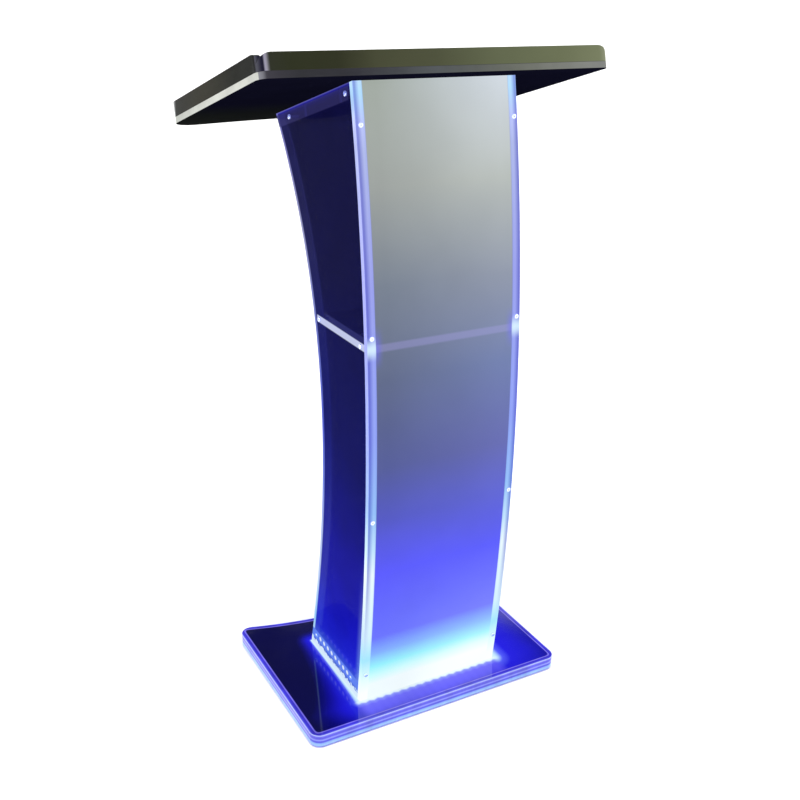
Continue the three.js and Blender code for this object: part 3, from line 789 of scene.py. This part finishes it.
def make_boards(paints):
    """Every acrylic board, with its faces and its sawn edges in their own materials."""
    for side in ("left", "right"):
        node = f"side_panel_{side}"
        mesh = machined(node, 0.5 * MM, lambda normal, middle: 0 if abs(normal.x) > 0.9 else 1)
        keep_flats(piece(node, mesh, [paints["side_face"], paints["edge"]], [node]))

    low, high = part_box("front_panel")
    edge_x = high[0] - 0.5 * MM
    mesh = machined(
        "front_panel", 0.5 * MM,
        lambda normal, middle: 1 if abs(middle.x) > edge_x or abs(normal.z) > 0.6 else 0,
    )
    keep_flats(piece(
        "front_panel", mesh, [paints["frosted"], paints["front_edge"]], ["front_panel"]
    ))

    for node in ("shelf", "top_plate", "bottom_plate"):
        mesh = machined(node, 0.5 * MM, lambda normal, middle: 0 if abs(normal.z) > 0.8 else 1)
        keep_flats(piece(node, mesh, [paints[node], paints[f"{node}_edge"]], [node]))

    def desk_side(normal, middle):
        rise = normal.dot(DESK_NORMAL)
        if abs(rise) > 0.9:
            return 0 if rise > 0 else 1
        return 2 if normal.y < -0.6 else 3

    mesh = machined("desk_plate", 0.6 * MM, desk_side)
    desk = [paints[key] for key in ("desk_face", "desk_under", "desk_front", "desk_side")]
    keep_flats(piece("desk_plate", mesh, desk, ["desk_plate"]))

    def rim_side(normal, middle):
        if normal.dot(DESK_NORMAL) > 0.9:
            return 1
        return 0 if normal.y < -0.3 else 2

    for node in ("rim_front", "rim_left", "rim_right", "rim_rear"):
        mesh = machined(node, 0.5 * MM, rim_side)
        rim = [paints[key] for key in ("rim_front", "rim_top", "rim_side")]
        keep_flats(piece(node, mesh, rim, [node]))

    mesh = machined("base_plate", 0.8 * MM, lambda normal, middle: 0 if abs(normal.z) > 0.9 else 1)
    base = [paints["base_face"], paints["base_side"]]
    keep_flats(piece("base_plate", mesh, base, ["base_plate"]))


# ---------------------------------------------------------------- screws and feet

SCREW = {"shank": 2.0, "head": 4.0, "height": 2.4, "socket": 1.7, "depth": 1.4, "pitch": 1.4}
SCREW_LENGTHS = {"front": 32.7, "base": 43.3, "desk": 29.3}
SIDE_SCREW_LENGTH = 37.7


def screw_mesh(name, head_top, direction, length):
    """A socket cap screw from its tip to its head, with ring grooves for its thread."""
    shank, head, socket = SCREW["shank"], SCREW["head"], SCREW["socket"]
    neck, floor = length - SCREW["height"], length - SCREW["depth"]
    profile = [(0.4, 0), (shank * 0.7, 0.3)]
    height = 1.0
    while height < neck - 2:
        profile += [(shank, height), (shank, height + 0.3), (shank * 0.84, height + SCREW["pitch"] / 2)]
        height += SCREW["pitch"]
    profile += [(shank, neck - 1), (shank, neck), (head - 0.2, neck), (head, neck + 0.2)]
    profile += [(head, length - 0.4), (head - 0.12, length - 0.12), (head - 0.4, length)]
    hexagon = [(socket, length, 6), (socket, floor, 6), (0.2, floor, 6)]
    work = turned([*profile, *hexagon], 24)
    aim(work, head_top - Vector(direction) * length * MM, direction)
    return smooth_mesh(name, work)


def make_screws(paint):
    """Every screw, with its head's middle worked out from the box of its CAD node."""
    for node in sorted(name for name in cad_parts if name.startswith("screw_")):
        low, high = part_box(node)
        direction = screw_direction(node, (low[2] + high[2]) / 2)
        reach = [SCREW["head"] * MM * math.sqrt(1 - d * d) for d in direction]
        top = Vector([
            high[i] - reach[i] if direction[i] >= 0 else low[i] + reach[i] for i in range(3)
        ])
        length = SCREW_LENGTHS.get(node.split("_")[1], SIDE_SCREW_LENGTH)
        piece(node, screw_mesh(node, top, direction, length), [paint], [node])


def screw_direction(node, z):
    """Which way a screw's head looks."""
    if node.startswith("screw_front"):
        lean = front_lean(z)
        return Vector((0, -math.cos(lean), math.sin(lean)))
    if node.startswith("screw_base"):
        return Vector((0, 0, -1))
    if node.startswith("screw_desk"):
        return DESK_NORMAL
    return Vector((-1 if "left" in node else 1, 0, 0))


def front_lean(z):
    """How far the front panel's outward normal tips up at a height."""
    a, b, c, d = (value * MM for value in FRONT_CURVE["y"])
    span = FRONT_CURVE["high"] - FRONT_CURVE["low"]
    t = (z - FRONT_CURVE["low"]) / span
    slope = 3 * ((b - a) * (1 - t) ** 2 + 2 * (c - b) * t * (1 - t) + (d - c) * t * t) / span
    return math.atan(slope)


def make_feet(paint):
    for node in sorted(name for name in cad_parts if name.startswith("foot_")):
        low, high = (Vector(corner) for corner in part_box(node))
        radius, height = (high.x - low.x) / 2 / MM, (high.z - low.z) / MM
        profile = [(radius - 4, 0.5), (radius - 3.6, 0), (radius - 0.8, 0), (radius, 0.7)]
        profile += [(radius, height - 0.3), (radius - 0.3, height)]
        work = turned(profile, 48)
        aim(work, Vector(((low.x + high.x) / 2, (low.y + high.y) / 2, low.z)), (0, 0, 1))
        piece(node, smooth_mesh(node, work), [paint], [node])


# ---------------------------------------------------------------- LED strips

LED = {"size": 5.0 * MM, "board": 0.7 * MM, "pad": 1.6 * MM}
RESISTOR = {"half_length": 0.8 * MM, "half_width": 0.4 * MM, "height": 0.5 * MM}
PAD_HEIGHT = 0.15 * MM
PAD_OFF_MIDDLE = 3 * MM


def about(middle, half):
    return middle - half, middle + half


def strip_mesh(node, across, sign):
    """A white circuit ribbon with a row of square LED packages, resistors and pads.

    `across` is the axis that the packages look along, and `sign` their direction on it.
    """
    low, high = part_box(node)
    along = 1 - across
    back = high[across] if sign < 0 else low[across]
    depth = high[across] - low[across]
    work = bmesh.new()

    def part(stretch, heights, depths, material, bevel=0.0):
        """A block over a stretch of the strip, between two depths from its back."""
        box_low, box_high = [0, 0, heights[0]], [0, 0, heights[1]]
        box_low[along], box_high[along] = stretch
        box_low[across], box_high[across] = sorted(back + sign * value for value in depths)
        box_into(work, box_low, box_high, bevel, material)

    board, half, pad = LED["board"], LED["size"] / 2, LED["pad"] / 2
    middle = (low[2] + high[2]) / 2
    part((low[along], high[along]), (low[2], high[2]), (0, board), 0, 0.15 * MM)
    span = high[along] - low[along]
    count = int((span - STRIP_ENDS) // LAMP_PITCH) + 1
    first = low[along] + (span - (count - 1) * LAMP_PITCH) / 2
    for i in range(count):
        at = first + i * LAMP_PITCH
        part(about(at, half), about(middle, half), (board, depth), 1, 0.3 * MM)
        if i + 1 == count:
            continue
        gap = at + LAMP_PITCH / 2
        length, width = about(gap, RESISTOR["half_length"]), about(middle, RESISTOR["half_width"])
        part(length, width, (board, board + RESISTOR["height"]), 2)
        for z in about(middle, PAD_OFF_MIDDLE):
            part(about(gap, pad), about(z, pad / 2), (board, board + PAD_HEIGHT), 3)
    return smooth_mesh(node, work)


def make_strips(paints):
    facing = {"left": (0, -1), "right": (0, 1), "front": (1, -1), "rear": (1, 1)}
    finish = [paints[key] for key in ("strip", "lamp", "resistor", "pad")]
    for side, (across, sign) in facing.items():
        node = f"led_strip_{side}"
        piece(node, strip_mesh(node, across, sign), finish, [node])


# ---------------------------------------------------------------- power lead

LEAD_RADIUS = 2.4
LEAD_ROUTE = [
    (-60, 84.3, 42), (-60.5, 94, 41.7), (-61.5, 106, 38.8), (-63, 118, 34), (-65, 131, 30.8),
    (-67, 145, 30.3), (-68.5, 156, 28), (-70, 166, 21), (-71.5, 175, 11), (-73, 185, 4.2),
    (-73, 197, 2.7), (-67, 210, 2.7), (-53, 219, 2.7), (-35, 222, 2.7), (-17, 217, 2.7),
    (-5, 204, 2.7), (0, 188, 2.7), (10, 175, 2.7), (27, 169, 2.7), (52, 171, 2.7),
    (80, 179, 2.7), (108, 191, 2.7), (135, 202, 2.7), (153, 208, 2.7), (171, 210, 2.7),
]
COIL = {"x": 190, "y": 245, "outer": 35.0, "inner": 20.3, "leave": 30.1, "low": 2.7, "high": 7.6}
PLUG = {"x": 216.6, "relief": 20, "body": 24, "radius": 5, "tip_radius": 2.75}


def smooth_path(points, steps):
    """A Catmull-Rom line through the points."""
    ends = [points[0] * 2 - points[1], *points, points[-1] * 2 - points[-2]]
    path = []
    for a, b, c, d in zip(ends, ends[1:], ends[2:], ends[3:]):
        for i in range(steps):
            t = i / steps
            square, cube = a * 2 - b * 5 + c * 4 - d, b * 3 - a - c * 3 + d
            path.append(0.5 * (b * 2 + (c - a) * t + square * t * t + cube * t ** 3))
    return [*path, points[-1]]


def coil_path():
    """Three turns inwards on the floor, one that climbs, and two outwards on top of them."""
    start, steps = -math.pi / 2, 32
    outer, inner, leave = COIL["outer"], COIL["inner"], COIL["leave"]
    low, high = COIL["low"], COIL["high"]
    path = []
    for i in range(3 * steps + 1):
        f = i / (3 * steps)
        path.append((outer + (inner - outer) * f, start + 6 * math.pi * f, low))
    for i in range(1, steps + 1):
        f = i / steps
        climb = low + (high - low) * min(1, f / 0.8)
        path.append((inner - 1.9 * math.sin(math.pi * f), start + 2 * math.pi * f, climb))
    for i in range(1, 2 * steps + 1):
        f = i / (2 * steps)
        path.append((inner + (leave - inner) * f, start + 4 * math.pi * f, high))
    return [
        place(COIL["x"] + r * math.cos(angle), COIL["y"] + r * math.sin(angle), z) for r, angle, z in path
    ]


def make_lead(paints):
    """The free lead: down behind the base, across the floor and into a loose coil with its plug."""
    route = smooth_path([place(*point) for point in LEAD_ROUTE], 6)
    tail = [place(x, COIL["y"] - COIL["leave"], COIL["high"]) for x in (203, PLUG["x"])]
    points = [*route, *coil_path(), *tail]
    curve = bpy.data.curves.new("power_lead", "CURVE")
    curve.dimensions = "3D"
    curve.bevel_depth = LEAD_RADIUS * MM
    curve.bevel_resolution = 4
    curve.use_fill_caps = True
    line = curve.splines.new("POLY")
    line.points.add(len(points) - 1)
    for spot, point in zip(line.points, points):
        spot.co = (*point, 1)
    curve.materials.append(paints["cable"])
    lead = bpy.data.objects.new("power_lead", curve)
    bpy.context.scene.collection.objects.link(lead)
    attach(lead, ROOT)
    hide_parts("power_lead", "power_lead_coil")

    body, tip = make_plug(paints)


def ribs(start, end, low, high, count):
    """A stepped sleeve of thin rings between two heights, tapering from one radius to another."""
    profile = []
    step = (high - low) / count
    for i in range(count):
        radius = start + (end - start) * i / count
        waist, bottom = radius * 0.84, low + step * i
        crest = bottom + 0.55 * step
        profile += [(radius, bottom), (radius, crest), (waist, crest + 0.1), (waist, bottom + step - 0.1)]
    return profile


def make_plug(paints):
    """The barrel plug: a ribbed sleeve, a moulded grip and a bored metal barrel."""
    relief, grip, radius = PLUG["relief"], PLUG["body"], PLUG["radius"]
    y, z = COIL["y"] - COIL["leave"], COIL["high"]
    start = place(PLUG["x"], y, z)
    profile = [(2.5, 0), *ribs(3.0, 4.2, 0.3, relief - 0.5, 7), (radius - 0.5, relief)]
    profile += [(radius, relief + 0.8), *ribs(radius, radius, relief + 4, relief + grip - 5, 6)]
    profile += [(radius, relief + grip - 5), (radius, relief + grip - 0.6), (radius - 0.6, relief + grip)]
    work = turned(profile, 40)
    aim(work, start, (1, 0, 0))
    mesh = smooth_mesh("power_plug_body", work)
    body = piece("power_plug_body", mesh, [paints["plug_grip"]], ["power_plug_body"])

    near, far = (corner[0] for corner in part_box("power_plug_tip"))
    length, barrel = (far - near) / MM, PLUG["tip_radius"]
    profile = [(barrel - 0.3, 0), (barrel, 0.2), (barrel, length - 2.6), (barrel - 0.25, length - 2.4)]
    profile += [(barrel - 0.25, length - 1.8), (barrel, length - 1.6), (barrel, length - 0.3)]
    profile += [(barrel - 0.3, length), (1.1, length), (1.1, length - 6), (0.3, length - 6)]
    work = turned(profile, 40)
    aim(work, Vector((near, start.y, start.z)), (1, 0, 0))
    mesh = smooth_mesh("power_plug_tip", work)
    tip = piece("power_plug_tip", mesh, [paints["nickel"]], ["power_plug_tip"])
    return body, tip


def make_connector(paints):
    """The connector block under the bottom plate, with the ribbed sleeve its lead leaves by."""
    mesh = machined("lead_connector", 0.8 * MM, lambda normal, middle: 0)
    piece("lead_connector", mesh, [paints["plug_grip"]], ["lead_connector"])
    low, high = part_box("lead_strain_relief")
    length = (high[1] - low[1]) / MM
    profile = [(4.5, 0), *ribs(4.5, 3.1, 0.3, length - 0.4, 7), (2.9, length)]
    work = turned(profile, 40)
    aim(work, Vector(((low[0] + high[0]) / 2, low[1], (low[2] + high[2]) / 2)), (0, 1, 0))
    mesh = smooth_mesh("lead_strain_relief", work)
    piece("lead_strain_relief", mesh, [paints["plug_grip"]], ["lead_strain_relief"])


# ---------------------------------------------------------------- the whole scene


def small_paint(name, color, roughness, metallic=0.0):
    paint = Paint(name, linear(color), roughness, metallic=metallic)
    paint.vary_roughness(800, roughness * 0.8, min(1, roughness * 1.3))
    paint.bump(1500, 0.1)
    return paint.material


def make_paints():
    return {
        "side_face": side_face_paint(),
        "edge": edge_paint(),
        "frosted": frosted_paint(),
        "front_edge": edge_paint("front_panel_edge", FRONT_BORDER),
        "shelf": plate_paint("shelf_face", SHELF_LIGHT),
        "shelf_edge": edge_paint("shelf_edge", SHELF_EDGE),
        "top_plate": plate_paint("top_plate_face", TOP_LIGHT),
        "top_plate_edge": edge_paint("top_plate_edge", TOP_EDGE),
        "bottom_plate": plate_paint("bottom_plate_face", BOTTOM_LIGHT, solid=0.75),
        "bottom_plate_edge": edge_paint("bottom_plate_edge", BOTTOM_EDGE),
        "base_face": base_paint(),
        "base_side": edge_paint("base_side", BASE_SIDE),
        # The desk and its tray, in painted light; the rims' tops lighter towards the right.
        "desk_face": plain_glow_paint("desk_face", (24, 24, 24), DESK_FACE, "Y"),
        "desk_under": plain_glow_paint("desk_under", (3, 3, 6), UNDERSIDE, "Y", specular=0.0),
        "desk_front": plain_glow_paint("desk_front", (20, 20, 22), PLATE_FRONT),
        "desk_side": plain_glow_paint("desk_side", (40, 40, 40), PLATE_SIDE, "Y"),
        "rim_front": tray_side_paint(),
        "rim_top": plain_glow_paint("rim_top", (70, 72, 66), [(-0.3, (70, 72, 62)), (0.3, (150, 152, 140))]),
        "rim_side": plain_glow_paint("rim_side", (10, 10, 8), RIM_SIDE, "Y"),
        "steel": steel_paint(),
        "rubber": rubber_paint(),
        "cable": cable_paint(),
        "plug_grip": cable_paint("plug_grip", 0.55),
        "nickel": nickel_paint(),
        "strip": strip_paint(),
        "lamp": lamp_paint(),
        "resistor": small_paint("resistor", (24, 24, 26), 0.5),
        "pad": small_paint("solder_pad", (205, 190, 150), 0.3, 0.8),
    }


place_camera()
set_stage()
paints = make_paints()
make_boards(paints)
make_screws(paints["steel"])
make_feet(paints["rubber"])
make_strips(paints)
make_connector(paints)
make_lead(paints)
